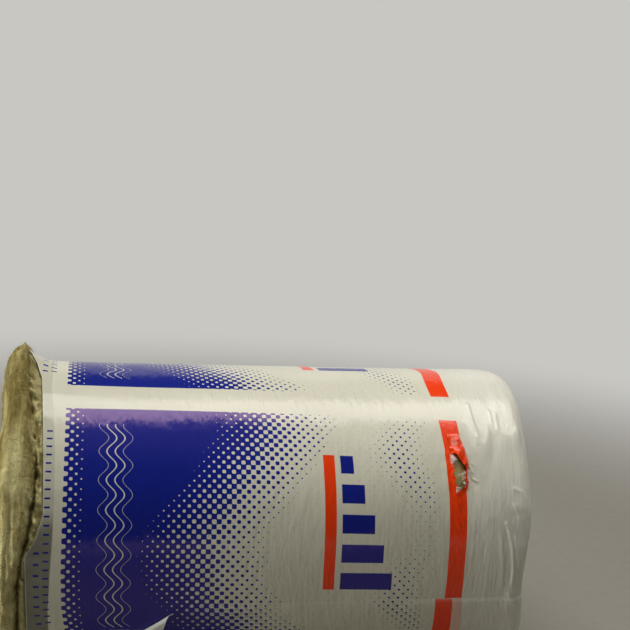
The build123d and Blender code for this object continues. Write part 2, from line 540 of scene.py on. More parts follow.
@dataclass(frozen=True)
class PrintedFilm:
    """Milky glossy film, printed blue with a red stripe.

    The lap line is where the film under it ends and a single film lies on the wool: a bow of
    (x, curve, middle angle), no further out than its limit, all in millimetres and degrees.
    """

    lap: Lap
    plan: PrintPlan = PrintPlan()
    white: Colour = tint(222, 221, 204)
    cloud: Colour = tint(208, 207, 190)
    edge_grey: Colour = tint(128, 127, 114)
    # hem: the pale tone of a painted highlight along the film's edges
    hem: Colour = tint(238, 238, 228)
    blue: Colour = tint(15, 34, 138)
    red: Colour = tint(248, 66, 12)
    over_shoulder: Colour = tint(226, 226, 214)
    shoulder: Pair = (225.0, 262.0)
    bronze: Colour = (1.0, 0.61, 0.78)
    gloss: float = 0.15
    film_shine: float = 0.40
    ink_shine: float = 0.56
    lap_line: tuple[float, float, float] = (-253.5, 0.0040, 24.0)
    lap_limit: float = -262.0
    single_angles: Pair = (23.0, 13.0)
    single_share: Pair = (0.25, 0.70)
    edge_highlight_width: Pair = (0.0012, 0.0006)
    edge_highlight_share: float = 0.5
    free_edge_highlight_share: float = 0.6
    ghost_shift: float = 1.2
    ghost_blue: float = 0.30
    ghost_red: float = 0.28
    hair_grain: Pair = (0.24, 0.022)
    wave_grain: tuple[float, float, float] = (0.10, 0.034, 5.0)
    hair_height: Pair = (0.36, 0.59)
    wave_height: float = 1.5
    dimple_height: float = 0.1
    lapped: Pair = (170.0, 290.0)
    relief: Pair = (0.6, 0.0011)

    def halftone(self, shader: Shader, along: Signal, down: Signal, girth: Signal) -> Signal:
        """Return the panel's halftone.

        It is dots on a lattice that stands on its corner, cos(2 pi u) cos(2 pi v), cut at the
        tone. The tone falls off along a wave that swings with the repeat, and never rises
        above a root of the distance from the panel's left edge, which serrates it.
        """
        plan = self.plan
        spot = shader.place(along * plan.uneven_grain, girth * plan.uneven_grain)
        uneven = shader.grain(spot, 1.0, 2.0) - 0.5
        middle = down.wave(plan.repeat, plan.fade_phase) * plan.fade_swing + plan.fade_middle
        fade = (middle - along) / plan.fade_length + 0.5 + uneven * plan.fade_uneven
        ripple = down.wave(plan.repeat / 2.0, plan.spray_phase) * plan.spray_ripple
        away = (along - ripple - plan.spray_line) / plan.spray_width
        bursts = (down - plan.burst_start).wave(plan.burst_length) * plan.burst_share
        bursts = bursts + (1.0 - plan.burst_share)
        spray = (away * away * -1.0).math("EXPONENT") * bursts * plan.spray_tone
        spray = spray + uneven * plan.spray_uneven
        inside = along - plan.panel_left
        left = (inside / plan.serration).math("MAXIMUM", 0.0).math("POWER", plan.serration_power)
        left = left * (1.0 - plan.serration_tone) + plan.serration_tone
        tone = fade.math("MAXIMUM", spray).math("MINIMUM", left)
        lattice = inside.wave(plan.dot_pitch, -math.pi / 2.0) * girth.wave(plan.dot_pitch)
        dots = (lattice * 0.5 + tone - 0.5).ramp(-plan.dot_edge, plan.dot_edge)
        dots = dots * inside.ramp(-plan.thin_edge, plan.thin_edge)
        return dots * (plan.panel_right - along).ramp(0.0, plan.right_fade)

    def bare_waves(self, along: Signal, down: Signal, girth: Signal) -> Signal:
        """Return the three wavy lines that are left bare in the panel."""
        plan = self.plan
        swing = girth.wave(plan.wave_length, -math.pi / 2.0) * plan.wave_swing
        across = along - plan.wave_line - swing
        lines = ((across / plan.wave_gap).math("FRACT") - 0.5).size().ramp(*plan.wave_share)
        lines = lines * across.size().ramp(1.5 * plan.wave_gap, 1.45 * plan.wave_gap)
        return lines * down.within(*plan.wave_angles, plan.cut_edge)

    def marks(self, along: Signal, down: Signal, girth: Signal) -> Signal:
        """Return the ticks along the loose edge and the row of steps."""
        plan = self.plan
        marks = []
        for low, high, pitch, first, last in plan.tick_lines:
            ticks = ((girth / pitch).math("FRACT") - 0.5).size().ramp(*plan.tick_share)
            ticks = ticks * along.within(low, high, plan.thin_edge)
            marks.append(ticks * down.within(first, last, plan.cut_edge))
        for angle, height in zip(plan.step_angles, plan.step_heights):
            step = (down - angle).size().ramp(*plan.step_half_angles)
            marks.append(step * along.within(plan.step_foot, plan.step_foot + height, plan.bar_edge))
        return sum(marks)

    def ink(self, shader: Shader, along: Signal, angle: Signal) -> tuple[Signal, Signal, Signal]:
        """Work out where the inks lie.

        Args:
            shader: the material's tree.
            along: millimetres along the roll.
            angle: degrees round it.

        Returns:
            How much blue, red and, on top of the blue, bare film there is, each 0 to 1.
        """
        plan = self.plan
        top = plan.panel_top - along * plan.skew - along * along * plan.bow
        down = ((top - angle) / plan.repeat).math("FRACT") * plan.repeat
        panel = down.within(plan.round_edge, plan.panel, plan.round_edge)
        girth = down * MM_PER_DEGREE
        blue = self.halftone(shader, along, down, girth) * panel
        blue = (blue + self.marks(along, down, girth)).math("MINIMUM", 1.0)
        bar = along.within(*plan.base_bar, plan.bar_edge)
        bar = bar * down.within(*plan.base_bar_angles, plan.round_edge)
        stripe = along.within(*plan.stripe, plan.thin_edge) * panel
        red = (bar + stripe).math("MINIMUM", 1.0)
        return blue, red, self.bare_waves(along, down, girth)

    def film(self, shader: Shader, along: Signal, angle: Signal, cloud: Signal) -> Signal:
        """Return the colour of the film under its ink: clouded, grey where it is single, with a painted
        highlight along its loose edge.
        """
        base = shader.mix(cloud.ramp(0.3, 0.75) * 0.5, self.white, self.cloud)
        base = shader.mix(along.ramp(*self.shoulder), base, self.over_shoulder)
        line, curve, middle = self.lap_line
        outer = line - (angle - middle) * (angle - middle) * curve
        single = along - outer.math("MAXIMUM", self.lap_limit) + (cloud - 0.5) * 2.0
        least, more = self.single_share
        single = single.ramp(0.5, -0.5) * (angle.ramp(*self.single_angles) * more + least)
        base = shader.mix(single, base, self.edge_grey)
        # painted highlight: a pale line along the loose edge
        edge = shader.mask("from_edge").ramp(*self.edge_highlight_width) * self.edge_highlight_share
        return shader.mix(edge, base, self.hem)

    def build(self) -> bpy.types.Material:
        """Return the film's material.

        Its relief is drawn out round the girth: fine streaks a few millimetres apart, and
        wider waves that break up the edge of the lamp's reflection. The blue ink shines more
        than the bare film and a little red, as a thick layer of it does. The tail shows the
        print of the lap below it as a ghost.
        """
        shader = Shader(f"printed_film_{self.lap.name.lower()}")
        u, v = shader.chart()
        along, girth = u / MM, v / MM
        angle = girth / MM_PER_DEGREE
        here = shader.body()
        base = self.film(shader, along, angle, shader.grain(here, 9.0, 3.0))
        if self.lap is Lap.TAIL:
            blue, red, bare = self.ink(shader, along, angle + self.ghost_shift)
            base = shader.mix(blue * (1.0 - bare) * self.ghost_blue, base, self.blue)
            base = shader.mix(red * self.ghost_red, base, self.red)
        blue, red, bare = self.ink(shader, along + self.lap.value, angle)
        film = shader.mix(red, base, self.red)
        # painted highlight: the free mask gives a pale line along free edges and pale glints
        film = shader.mix(shader.mask("free") * self.free_edge_highlight_share, film, self.hem)
        inked = blue * (1.0 - bare) * (1.0 - red)
        long, wide = self.hair_grain
        hair = shader.grain(shader.place(along * long, girth * wide), 1.0, 3.0, 0.55)
        long, wide, layer = self.wave_grain
        waves = shader.grain(shader.place(along * long, girth * wide, layer), 1.0, 2.0, 0.6)
        dimples = shader.grain(here, 55.0, 2.0)
        least, more = self.hair_height
        height = hair * (least + along.ramp(*self.lapped) * more)
        height = height + waves * self.wave_height + dimples * self.dimple_height
        shared = {
            "Roughness": self.gloss + dimples * 0.08,
            "IOR": 1.5,
            "Normal": shader.relief(height, *self.relief),
        }
        ink = {"Base Color": (*self.blue, 1.0), "Specular Tint": (*self.bronze, 1.0), **shared}
        ink["Specular IOR Level"] = self.ink_shine
        printed = shader.node("ShaderNodeBsdfPrincipled", inputs=ink)
        bare_film = {"Base Color": film, "Specular IOR Level": self.film_shine, **shared}
        return shader.finish(bare_film, (inked, printed))


@dataclass(frozen=True)
class CloudedFinish:
    """A finish of two tones that change with a cloudy noise.

    A grain is a noise's scale and detail. The change is the noise's range and how far the
    second tone goes; the clearness is its range, its spread and its least. The relief is the
    strength and the depth of the bump.
    """

    name: str
    first: Colour
    second: Colour
    grain: Pair
    change: tuple[float, float, float]
    roughness: float
    specular: float = 0.5
    clearness: tuple[float, float, float, float] | None = None
    relief_grain: Pair | None = None
    relief: Pair = (0.0, 0.0)

    def build(self) -> bpy.types.Material:
        """Return the material."""
        shader = Shader(self.name)
        here = shader.body()
        cloud = shader.grain(here, *self.grain)
        low, high, most = self.change
        inputs: dict[str, Any] = {
            "Base Color": shader.mix(cloud.ramp(low, high) * most, self.first, self.second),
            "Roughness": self.roughness,
            "Specular IOR Level": self.specular,
        }
        if self.clearness is not None:
            low, high, spread, least = self.clearness
            inputs["Alpha"] = cloud.ramp(low, high) * spread + least
        if self.relief_grain is not None:
            crumple = shader.grain(here, *self.relief_grain)
            inputs["Normal"] = shader.relief(crumple, *self.relief)
        return shader.finish(inputs)


FILM_UNDERSIDE = CloudedFinish(
    "film_underside", tint(226, 228, 222), tint(150, 156, 186), (14.0, 3.0), (0.45, 0.7, 0.4),
    roughness=0.2, relief_grain=(40.0, 4.0), relief=(0.5, 0.0015),
)
TORN_FILM = CloudedFinish(
    "torn_film", tint(224, 223, 216), tint(206, 96, 76), (110.0, 2.0), (0.55, 0.8, 0.6),
    roughness=0.08, clearness=(0.35, 0.65, 0.45, 0.25), relief_grain=(110.0, 2.0),
    relief=(1.0, 0.006),
)
LOOSE_FIBRE = CloudedFinish(
    "loose_fibre", tint(132, 116, 60), tint(178, 166, 114), (70.0, 2.0), (0.35, 0.65, 1.0),
    roughness=0.8, specular=0.2,
)


@dataclass(frozen=True)
class MineralWool:
    """Olive-yellow glass fibre, streaked round the girth, with painted shade in its creases, joints and
    top.

    A grain of its streaks is a scale along the profile of the roll and one round it.
    """

    light: Colour = tint(198, 187, 126)
    middle: Colour = tint(154, 142, 90)
    dark: Colour = tint(84, 72, 32)
    pale: Colour = tint(222, 218, 169)
    smoothed: Colour = tint(206, 197, 142)
    shade: Colour = tint(122, 110, 62)
    streak_grain: Pair = (380.0, 26.0)
    fine_grain: Pair = (1300.0, 120.0)
    patch_grain: Pair = (70.0, 16.0)
    clump_scale: float = 60.0
    speck_scale: float = 240.0
    streak_share: float = 0.42
    clump_share: float = 0.44
    speck_share: float = 0.14
    relief_depth: float = 0.004

    def build(self) -> bpy.types.Material:
        """Return the wool's material, whose streaks are thin along the profile of the roll."""
        shader = Shader("mineral_wool")
        u, _ = shader.chart()
        here = shader.body()
        y, z = shader.part(here, "Y"), shader.part(here, "Z")

        def drawn(grain: Pair, detail: float, roughness: float = 0.5) -> Signal:
            along, across = grain
            place = shader.place(u * along, y * across, z * across)
            return shader.grain(place, 1.0, detail, roughness)

        streak = drawn(self.streak_grain, 4.0, 0.65)
        fine = drawn(self.fine_grain, 3.0, 0.6)
        patch = drawn(self.patch_grain, 2.0)
        clump = shader.grain(here, self.clump_scale, 5.0, 0.62)
        specks = shader.grain(here, self.speck_scale, 3.0, 0.6)
        skin = shader.mask("skin")
        blend = streak * self.streak_share + clump * self.clump_share + specks * self.speck_share
        stops = [(0.31, self.dark), (0.48, self.middle), (0.65, self.light)]
        base = shader.node("ShaderNodeValToRGB", {"stops": stops}, {"Fac": blend})
        base = shader.mix(patch.ramp(0.52, 0.36) * 0.6, base, self.shade)
        base = shader.mix(patch.ramp(0.5, 0.66) * 0.45, base, self.pale)
        # pale skin, which also carries painted light: paler low on the swell, on the rim's nodules and in
        # the tear's hole
        base = shader.mix(skin, base, shader.mix(streak.ramp(0.3, 0.7), self.smoothed, self.pale))
        # painted shade: a mask darkens the wool in its creases, its joints and towards its top
        base = shader.mix(shader.mask("furrow") * 0.9, base, self.dark)
        base = shader.mix(fine.ramp(0.4, 0.7) * 0.25, base, self.light, "OVERLAY")
        height = (streak * 0.35 + fine * 0.2) * (1.0 - skin * 0.7)
        height = height + (clump * 0.6 + specks * 0.2) * (1.0 - skin * 0.9)
        return shader.finish(
            {
                "Base Color": base,
                "Roughness": 0.95,
                "Specular IOR Level": 0.12,
                "Normal": shader.relief(height, 1.0, self.relief_depth),
            }
        )


# The pieces

# The tables below give lengths in millimetres, the first five at angles in degrees

# Where the film starts along the roll
FILM_START = {
    -170: -270, -120: -274, -90: -276, -50: -279, -20: -280.5, -4: -282, 6: -283.5, 12: -272,
    20: -264.7, 38: -266.5, 54: -269.5, 76: -274, 84: -281, 90: -292.5, 97: -284, 110: -268,
    150: -266,
}
# How far the rim of the lapped end stands out along the roll
LAPPED_LEAN = {
    -90: 4, -60: 16, -40: 20, -27: 10, -15: -1, 0: -4, 20: 1.5, 45: 5.5, 60: 12, 75: 20.5, 90: 18,
    120: 10, 150: 4, 180: 0,
}
# Where the furrow round the loose end runs, and how deep it is
CREASE_LINE = {
    -170: -286.5, -120: -289, -60: -292, -7: -291.5, 7: -284.4, 20: -277.3, 35: -274.3, 48: -278.4,
    66: -286, 86: -292.5, 110: -289, 150: -284,
}
CREASE_DEPTH = {-150: 9, -60: 8, -7: 9, 7: 11, 20: 12, 34: 9, 46: 6, 60: 4.2, 90: 4, 120: 5, 160: 8}
# How far the print lies off its line along the roll, low on the front
PRINT_DRIFT = {-40: 11, -28: 7.8, -14: 1.8, 0: 0, 340: 0}


@dataclass(frozen=True)
class Patch:
    """A place on the roll that fades out as a bell, round the roll and along it."""

    angle: float
    half_angle: float
    x: float = 0.0
    half_width: float = math.inf

    def at(self, x: Array, angle: Array) -> Array:
        """Return the patch's share at each point, 1 in its middle."""
        return bump_at(angle_gap(angle, self.angle), 0.0, self.half_angle) * bump_at(
            x, self.x, self.half_width
        )


@dataclass(frozen=True)
class Grain:
    """The height of a noise and the size of its grain along the roll and round it."""

    height: float
    length: float
    girth: float
    layers: int = 1
    shift: float = 0.0

    def of(self, noise: RoundNoise, along: Array, angle: Array) -> Array:
        """Return the noise, about minus its height to its height."""
        return self.height * noise.at(along + self.shift, angle, self.length, self.girth, self.layers)

    def ridges(self, noise: RoundNoise, along: Array, angle: Array) -> Array:
        """Return narrow crests and wide hollows, h (1/2 - the root of the size of the noise)."""
        size = np.abs(noise.at(along + self.shift, angle, self.length, self.girth, self.layers))
        return self.height * (0.5 - np.sqrt(np.clip(size, 0.0, 1.0)))


@dataclass(frozen=True)
class RollForm:
    """Sizes that the wool and the film share."""

    radius: float = 0.192
    axis_height: float = 0.192
    under_film: float = 0.1893
    lapped_face: float = 0.3211
    collar_radius: float = 0.122
    eye_radius: float = 0.019
    turn: float = 0.024
    swell_lift: float = 0.008
    floor_gap: float = 0.0002
    lean_start: float = 0.20
    lean_blur: tuple[float, ...] = (-8.0, -4.0, 0.0, 4.0, 8.0)
    slack_height: float = 0.007
    slack: Patch = Patch(92.0, 11.0)
    ear_height: float = 0.0205
    ear_start: float = -0.246
    ear_length: float = 0.047
    ear_patch: Patch = Patch(89.0, 7.5)

    def place(self, x: Array, angle: Array, reach: Array, lift: Array | float = 0.0) -> Array:
        """Return points at x, an angle and a distance from the axis, raised by a lift.

        A point that would go through the floor lies on it.
        """
        turn = np.radians(angle)
        y = -reach * np.cos(turn)
        z = np.maximum(self.axis_height + lift + reach * np.sin(turn), self.floor_gap)
        return np.stack(np.broadcast_arrays(x, y, z), axis=-1).reshape(-1, 3)

    def ear(self, x: Array, angle: Array) -> Array:
        """Return how far the film's loose edge flares out at the top, where it ends in an ear."""
        out = np.clip((self.ear_start - x) / self.ear_length, 0.0, 1.0)
        return self.ear_height * self.ear_patch.at(x, angle) * out**2

    def lean(self, x: Array, angle: Array) -> Array:
        """Return how far the lapped end stands out along the roll, most at its top."""
        near = [round_table(angle + step, LAPPED_LEAN) for step in self.lean_blur]
        end = sum(near) / len(near) * smooth(self.lean_start, self.lapped_face, x)
        return end + self.slack_height * self.slack.at(x, angle) * smooth(0.0, self.lean_start, x)


@dataclass(frozen=True)
class Fold:
    """A crease of the film along a line of (x, angle) points, in millimetres and degrees.

    A hollow has a negative height.
    """

    line: tuple[Pair, ...]
    width: float
    height: float

    def at(self, x: Array, girth: Array) -> Array:
        """Return h e^-(d/w)^2, d the distance to the line on the flat film."""
        away = np.full_like(x, 1.0)
        knots = MM * np.array(self.line) * (1.0, MM_PER_DEGREE)
        for start, end in zip(knots[:-1], knots[1:]):
            run = end - start
            share = ((x - start[0]) * run[0] + (girth - start[1]) * run[1]) / (run @ run)
            share = np.clip(share, 0.0, 1.0)
            gap = np.hypot(x - start[0] - share * run[0], girth - start[1] - share * run[1])
            away = np.minimum(away, gap)
        return MM * self.height * bump_at(away, 0.0, MM * self.width)


@dataclass(frozen=True)
class Swell:
    """A slack place of the film that grows down to a crest and ends below it, in millimetres.

    The crest is a bow: at the half width on either side it lies higher than in the middle.
    """

    x: float
    half_width: float
    crest: float
    bow: float
    above: float
    below: float
    height: float

    def at(self, along: Array, angle: Array) -> Array:
        """Return its height.

        Across, it is e^-(d/w)^6. Down the side it grows as (1 - t)^2 to its crest, where t is
        the share of the way above it, and then falls off as a bell.
        """
        aside = (along / MM - self.x) / self.half_width
        up = angle_gap(angle, self.crest + self.bow * np.minimum(aside**2, 2.0))
        rise = (1.0 - np.clip(up / self.above, 0.0, 1.0)) ** 2
        fall = bump_at(np.minimum(up, 0.0), 0.0, self.below)
        return MM * self.height * np.exp(-(aside**6)) * rise * fall


@dataclass(frozen=True)
class Laid:
    """Film laid on the roll: its rows and columns, its points, and each one's place on the film."""

    shape: tuple[int, int]
    points: Array
    from_edge: Array
    section: Array
    girth: Array

    def skin(self, shift: Array | float = 0.0, faces: Array | None = None, **masks: Array) -> Surface:
        """Return the surface, charted by section and girth.

        Args:
            shift: how far the print is shifted along the roll.
            faces: the faces, where they aren't simply those of the grid.
            masks: what the material reads at each point.
        """
        if faces is None:
            faces = grid_faces(*self.shape, closed=False)
        chart = np.stack([self.section + shift, self.girth], axis=-1)
        return Surface(self.points, faces, chart, masks)

    def no_edge(self) -> Array:
        """Return distances from the loose edge for a piece that has no part of it."""
        return np.full(len(self.points), 0.1)

    def drift(self) -> Array:
        """Return how far the print lies off its line along the roll."""
        angle = self.girth / METRES_PER_DEGREE
        return MM * np.interp(angle, list(PRINT_DRIFT), list(PRINT_DRIFT.values()))


@dataclass(frozen=True)
class Shred:
    """One torn shred of film, in millimetres and degrees, with the seed of its crumpling."""

    seed: int
    x: float
    angle: float
    length: float
    height: float
    lean: float


# The single creases of the film, its slack places, and the shreds at its tear
FOLDS = (
    Fold(((253, 63), (253.5, 56), (256, 49.5), (256, 46.5)), 1.6, 1),
    Fold(((244, 54), (250, 46.5), (253, 44.2)), 1.6, 0.7),
    Fold(((235.9, 42.1), (240.4, 38.9), (243.8, 36.2)), 1, 0.9),
    Fold(((238.5, 33.5), (241, 31), (248, 30)), 1.1, 1.2),
    Fold(((237.5, 35.5), (242.5, 33.2)), 1, 0.9),
    Fold(((276.5, 60), (275.5, 51), (278.5, 48.5)), 1.6, 1),
    Fold(((282.5, 59), (282.5, 50)), 1.6, 0.8),
    Fold(((220.5, 25), (224.5, 23.2), (227.5, 21.8)), 1, 0.9),
    Fold(((220.5, 22), (224.5, 19.5)), 1, 0.9),
    Fold(((223, 18), (228, 16.6), (229.5, 15)), 1, 0.8),
    Fold(((222.2, 15.6), (225.2, 13.8)), 1, 0.8),
    Fold(((223.5, 6.5), (225, 3.5)), 1.2, 0.6),
    Fold(((296, 27.2), (304, 26), (311, 23), (314, 17)), 2.6, 1),
    Fold(((299, 17), (305, 10)), 8, -1.6),
    Fold(
        ((284.8, 14.9), (288.5, 12.1), (292.1, 8.7), (295.5, 5.1), (297.8, 1.2), (299.4, -2), (300.5, -9)),
        1.5, 1.6,
    ),
    Fold(((296.9, 9.7), (301.1, 5), (304.9, 1.1), (307.4, -2.8)), 1.6, 1.4),
    Fold(((294.9, 21.4), (298.3, 18.9), (301.9, 16.3)), 1.6, 1),
    Fold(((279, 10), (285, 0), (288, -9)), 2.2, 0.8),
    Fold(((296.8, -13), (308, -17.9)), 2.4, 0.9),
    Fold(((247, 26), (262, 17)), 7, 0.9),
    Fold(((260, 200), (290, 215), (310, 212)), 3, 1.8),
    Fold(((270, 140), (300, 128)), 3.5, 1.8),
)
SWELLS = (
    Swell(260, 12, 44.3, 6, 11, 7, 2.8),
    Swell(294, 18, 47.3, 5, 11, 7, 2.8),
    Swell(290, 60, 14, 0, 50, 16, 1.8),
    Swell(235, 16, 190, 4, 24, 6, 3),
)
SHREDS = (
    Shred(33, 234.5, 31.4, 18, 8.5, -0.7),
    Shred(35, 221.2, 27.6, 13, 6, 0.5),
    Shred(36, 217.6, 38.2, 14, 5.5, 0.6),
    Shred(39, 233, 30, 16, 8, -0.5),
)


@dataclass(frozen=True)
class Tear:
    """The slit in the film, pulled open along the roll.

    The fade of the pull and the lip have a value for the slit's left side and one for its right.
    """

    x: float = 0.2264
    angle: float = 34.2
    half_angle: float = 7.2
    half_width: float = 0.0072
    bluntness: float = 0.4
    ragged: Grain = Grain(0.5, 1.0, 0.0045, 3)
    ragged_limits: Pair = (0.3, 1.7)
    pull_fade: Pair = (0.0055, 0.009)
    lip: Pair = (0.0022, 0.0036)
    lip_fade: float = 0.005
    crumple: Grain = Grain(0.0019, 0.006, 0.008, 2)
    crumple_least: float = 0.6
    crumple_fade: float = 0.011
    crumple_reach: float = 2.2

    def opened(self, angle: Array) -> Array:
        """Return how far the slit is open, 1 - t^2, t the share of its half length."""
        return np.clip(1.0 - ((angle - self.angle) / self.half_angle) ** 2, 0.0, None)

    def torn(self, noise: RoundNoise, along: Array, angle: Array, left: Array) -> tuple[Array, Array]:
        """Pull the slit open.

        Args:
            noise: for its ragged edge and its crumples.
            along: distance along the film's section.
            angle: angle round the roll.
            left: which columns are on the left of the slit.

        Returns:
            How far each point moves along the roll, and how far it stands off it.
        """
        away = np.abs(along - self.x)
        way = np.where(left, -1.0, 1.0)
        gape = self.opened(angle) ** self.bluntness
        ragged = np.clip(1.0 + self.ragged.of(noise, way * 3.0, angle), *self.ragged_limits)
        pull = way * self.half_width * gape * ragged * np.exp(-away / np.where(left, *self.pull_fade))
        lip = np.where(left, *self.lip) * gape * np.exp(-away / self.lip_fade)
        near = smooth(self.half_angle * self.crumple_reach, 0.0, np.abs(angle - self.angle))
        rough = self.crumple_least * self.crumple.height + self.crumple.of(noise, along, angle)
        return pull, lip + rough * near * np.exp(-away / self.crumple_fade)


@dataclass
class FilmWrap:
    """The film: side, shoulder and collar, the tail lap with its folded corner, and the tear."""

    form: RollForm
    tear: Tear = Tear()
    edge: float = -0.266
    edge_blend: float = 0.03
    hem: float = 0.010
    hem_rows: int = 6
    collar_rows: int = 20
    shoulder: float = 0.018
    slack_shoulder: float = 0.006
    slack: Patch = Patch(TOP, 42.0)
    shape_start: float = 0.25
    dent: Grain = Grain(0.0009, 0.15, 0.10, 2)
    long_fold: Grain = Grain(0.0011, 0.022, 0.09, 2, 2.0)
    long_folds: Pair = (0.235, 0.30)
    pleat: Grain = Grain(0.0026, 0.10, 0.016)
    fine_pleat: Grain = Grain(0.0010, 0.05, 0.007, shift=3.0)
    pleat_blend: float = 0.012
    pleat_slant: float = 260.0
    loose_ruffle: Grain = Grain(0.0011, 0.06, 0.02, 2)
    ruffle_fade: float = 0.014
    sag_height: float = 0.0016
    sag: Patch = Patch(TOP, 22.0)
    sag_start: Pair = (-0.24, -0.15)
    tail_edge: float = -14.0
    tail_fine_end: float = -20.0
    tail_root: float = -89.0
    tail_full: float = -60.0
    tail_lift: float = 0.0004
    tail_gap: float = 0.00012
    tail_columns: int = 110
    tail_slack: Grain = Grain(0.0010, 0.05, 1.0, 2)
    tail_slack_start: Pair = (-0.096, -0.080)
    fold_start: float = -0.1018
    fold_slope: float = 39.0
    fold_tip: float = 0.0160
    fold_bend: float = 0.010
    corner_wave: Grain = Grain(0.0009, 0.05, 0.04, 2)
    flap_top: float = 48.6
    flap_shift: float = 0.0066

    def __post_init__(self) -> None:
        """Prepare the noises of the wrinkles."""
        self.dents = RoundNoise(11, self.form.radius)
        self.pleats = RoundNoise(12, self.form.radius)
        self.ruffle = RoundNoise(13, self.form.radius)
        self.shoulder_end, self.last = self.section_ends(self.shoulder)

    def section_ends(self, shoulder: Array | float) -> tuple[Array | float, Array | float]:
        """Return where the section leaves a shoulder of some radius, and where it ends."""
        end = self.form.lapped_face - shoulder + shoulder * math.pi / 2.0
        return end, end + self.form.radius - shoulder - self.form.collar_radius

    def profile(self, along: Array, angle: Array) -> tuple[Array, Array, Array, Array]:
        """Follow the film's section: straight side, quarter round shoulder, flat collar.

        Args:
            along: distance along the section, equal to x on the side.
            angle: angle round the roll; the shoulder is fuller at the top.

        Returns:
            x, radius, and the x and radial parts of the outward normal.
        """
        shoulder = self.shoulder + self.slack_shoulder * self.slack.at(0.0, angle)
        _, last = self.section_ends(shoulder)
        grow = (last - self.shape_start) / (self.last - self.shape_start)
        along = along + np.clip(along - self.shape_start, 0.0, None) * (grow - 1.0)
        start = self.form.lapped_face - shoulder
        turn = np.clip((along - start) / shoulder, 0.0, math.pi / 2.0)
        down = np.clip(along - start - shoulder * math.pi / 2.0, 0.0, None)
        x = np.minimum(along, start) + shoulder * np.sin(turn)
        reach = self.form.radius - shoulder * (1.0 - np.cos(turn)) - down
        return x, reach, np.sin(turn), np.cos(turn)

    def wrinkles(self, along: Array, angle: Array) -> Array:
        """Return how far the film stands off its plain form.

        Soft dents all over, long soft folds round the girth near the lapped end, pleats that
        gather over the shoulder and slant across the collar, a ruffle along the loose edge, a
        sag along the top, and the single folds and swells.
        """
        dents = self.dent.of(self.dents, along, angle)
        rounds = smooth(*self.long_folds, along) * self.long_fold.of(self.dents, along, angle)
        past = along - self.shoulder_end
        slant = angle + self.pleat_slant * np.clip(past, 0.0, None)
        pleats = self.pleat.ridges(self.pleats, along, slant)
        pleats = pleats + self.fine_pleat.ridges(self.pleats, along, slant)
        pleats = pleats * smooth(-self.pleat_blend, self.pleat_blend, past)
        loose = np.exp(-np.clip(along - self.edge, 0.0, None) / self.ruffle_fade)
        ruffle = loose * (self.loose_ruffle.height + self.loose_ruffle.of(self.ruffle, along, angle))
        sag = self.sag_height * self.sag.at(0.0, angle) * smooth(*self.sag_start, along)
        x = along + 0.0 * angle
        girth = angle * METRES_PER_DEGREE + 0.0 * along
        folds = sum(fold.at(x, girth) for fold in FOLDS)
        swells = sum(swell.at(along, angle) for swell in SWELLS)
        return dents + rounds + pleats + ruffle + folds + swells - sag

    def surface(self, along: Array, angle: Array, off: Array | float) -> Laid:
        """Lay the film on the roll.

        Args:
            along: distance along the section, a row of values.
            angle: angles round the roll, a column of values.
            off: how far it stands off the last lap below it.

        Returns:
            The points, each one's distance from the loose edge, and its place on the film.
        """
        start = round_table(angle, FILM_START)
        inner = np.exp(-np.clip(along - self.edge, 0.0, None) / self.edge_blend)
        section = along + (start - self.edge) * inner
        x, reach, toward_x, toward_r = self.profile(section, angle)
        stand = self.wrinkles(section, angle) + off
        reach = reach + stand * toward_r + self.form.ear(x, angle)
        x = x + stand * toward_x + self.form.lean(section, angle)
        points = self.form.place(x, angle, reach)
        girth = np.broadcast_to(angle * METRES_PER_DEGREE, section.shape)
        flat = [part.reshape(-1) for part in (section - start, section, girth)]
        return Laid(section.shape, points, *flat)

    def lines_along(self) -> Array:
        """Return the section's divisions, closer at the loose edge, the tear and the shoulder."""
        hem = self.edge + self.hem * np.linspace(0.0, 1.0, self.hem_rows, endpoint=False) ** 1.3
        stops = [
            (self.edge + self.hem, 0.0105), (0.19, 0.003), (0.212, 0.00125), (self.tear.x, 0.00125),
            (0.246, 0.0015), (0.300, 0.0024), (self.shoulder_end, 0.0),
        ]
        collar = np.linspace(self.shoulder_end, self.last, self.collar_rows)
        return np.concatenate([hem, divided(stops), collar])

    def side(self) -> Surface:
        """Make the side, shoulder and collar, with the tear as a slit that is pulled open.

        The points on the slit's line are doubled, and joined again above and below it.
        """
        stops = [(-24.0, 0.66), (22.0, 0.36), (44.0, 0.66), (98.0, 1.1), (FULL_TURN - 24.0, 0.0)]
        angle = divided(stops)[:, None]
        along = self.lines_along()
        slit = int(np.argmin(np.abs(along - self.tear.x)))
        along = np.insert(along, slit, along[slit])[None, :]
        left = np.arange(along.size)[None, :] <= slit
        pull, stand = self.tear.torn(self.ruffle, along, angle, left)
        laid = self.surface(along, angle, stand)
        laid.points[:, 0] += pull.reshape(-1)
        faces = grid_faces(*laid.shape, closed=True)
        faces = faces[faces[:, 0] % along.size != slit]
        shut = np.zeros(laid.shape, bool)
        shut[:, slit + 1] = self.tear.opened(angle)[:, 0] <= 0.0
        joined = np.arange(len(laid.points)) - shut.reshape(-1)
        masks = {"from_edge": laid.from_edge, "free": np.zeros(len(laid.points))}
        return laid.skin(-laid.drift(), joined[faces][:, ::-1], **masks)

    def fold_line(self, down: Array) -> Array:
        """Return the x of the tail's slanting fold at a distance below the free edge."""
        return self.fold_start - down / math.tan(math.radians(self.fold_slope))

